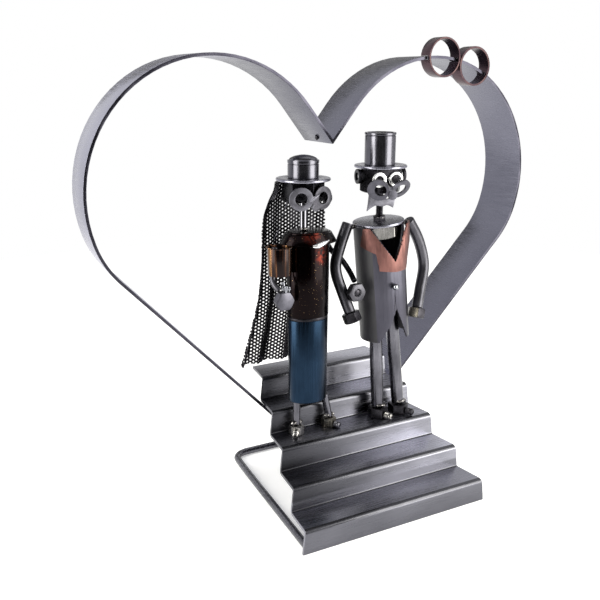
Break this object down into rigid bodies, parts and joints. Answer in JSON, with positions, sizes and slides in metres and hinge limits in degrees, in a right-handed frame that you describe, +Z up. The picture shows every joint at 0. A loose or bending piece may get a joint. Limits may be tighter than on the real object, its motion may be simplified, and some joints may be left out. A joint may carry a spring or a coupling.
{
  "type": "wedding couple figurine",
  "caption": "Bride and groom of welded pipe, nuts, washers and sheet steel on a bent sheet staircase, in front of a flat bar heart with linked copper rings.",
  "frame": {"origin": "on the floor, under the middle of the object's bounding box", "axes": "+X across the figurine from the bride's side to the groom's, +Y from the front of the staircase to its back, +Z up"},
  "size_m": [0.3462, 0.1466, 0.3176],
  "materials": {
    "stair_steel": "brushed sheet steel under clear lacquer, grey",
    "bar_steel": "hot rolled flat bar, ground and lacquered, grey",
    "rod_steel": "bright drawn rod, lacquered",
    "copper": "copper pipe, heat darkened, satin",
    "collar_copper": "copper sheet, satin, pinkish",
    "bright_steel": "zinc plated or polished steel, bright",
    "brushed_steel": "ground steel under clear lacquer",
    "dark_steel": "dark oxide steel under clear lacquer",
    "jacket_steel": "rolled sheet steel, dark satin",
    "lacquered_steel": "dark red brown lacquer, glossy",
    "golden_steel": "golden brown lacquer, glossy",
    "blued_steel": "steel tube, heat blued, satin",
    "veil_steel": "perforated sheet steel, dark satin"
  },
  "bodies": {
    "root": {"stair_sheet": "stair_steel", "floor_rod": "rod_steel", "heart_strip_right": "bar_steel", "heart_strip_left": "bar_steel", "ring_left": "copper", "ring_right": "copper", "groom_shoulder_disc": "brushed_steel", "groom_chest_nut": "bright_steel", "groom_jacket": "jacket_steel", "groom_collar": "collar_copper", "groom_button": "bright_steel", "groom_hip_disc": "dark_steel", "groom_neck_nut": "dark_steel", "groom_neck_bolt": "dark_steel", "groom_hat_brim": "brushed_steel", "groom_hat_crown": "brushed_steel", "groom_head_nut": "dark_steel", "groom_eye_right": "bright_steel", "groom_ear_right": "dark_steel", "groom_eye_left": "bright_steel", "groom_ear_left": "dark_steel", "groom_spectacles": "brushed_steel", "groom_moustache": "brushed_steel", "groom_arm_right": "brushed_steel", "groom_hand_right": "dark_steel", "groom_arm_left": "brushed_steel", "groom_hand_left": "dark_steel", "groom_leg_right": "brushed_steel", "groom_shoe_right_heel": "dark_steel", "groom_shoe_right_toe": "bright_steel", "groom_leg_left": "brushed_steel", "groom_shoe_left_heel": "dark_steel", "groom_shoe_left_toe": "bright_steel", "bride_hat_brim": "brushed_steel", "bride_hat_crown": "brushed_steel", "bride_head_nut": "dark_steel", "bride_eye_right": "bright_steel", "bride_eye_left": "bright_steel", "bride_spectacles": "brushed_steel", "bride_neck_bolt": "bright_steel", "bride_veil": "veil_steel", "bride_skirt": "blued_steel", "bride_hip_disc": "dark_steel", "bride_bodice": "lacquered_steel", "bride_shoulder_band": "lacquered_steel", "bride_sleeve": "golden_steel", "bride_arm_right": "brushed_steel", "bride_hand_right": "brushed_steel", "bride_flower_1": "bright_steel", "bride_flower_2": "bright_steel", "bride_flower_3": "bright_steel", "bride_arm_left": "dark_steel", "bride_hand_left": "dark_steel", "bride_leg_right": "brushed_steel", "bride_shoe_right_heel": "dark_steel", "bride_shoe_right_toe": "bright_steel", "bride_leg_left": "brushed_steel", "bride_shoe_left_heel": "dark_steel", "bride_shoe_left_toe": "bright_steel"}
  },
  "joints": []
}
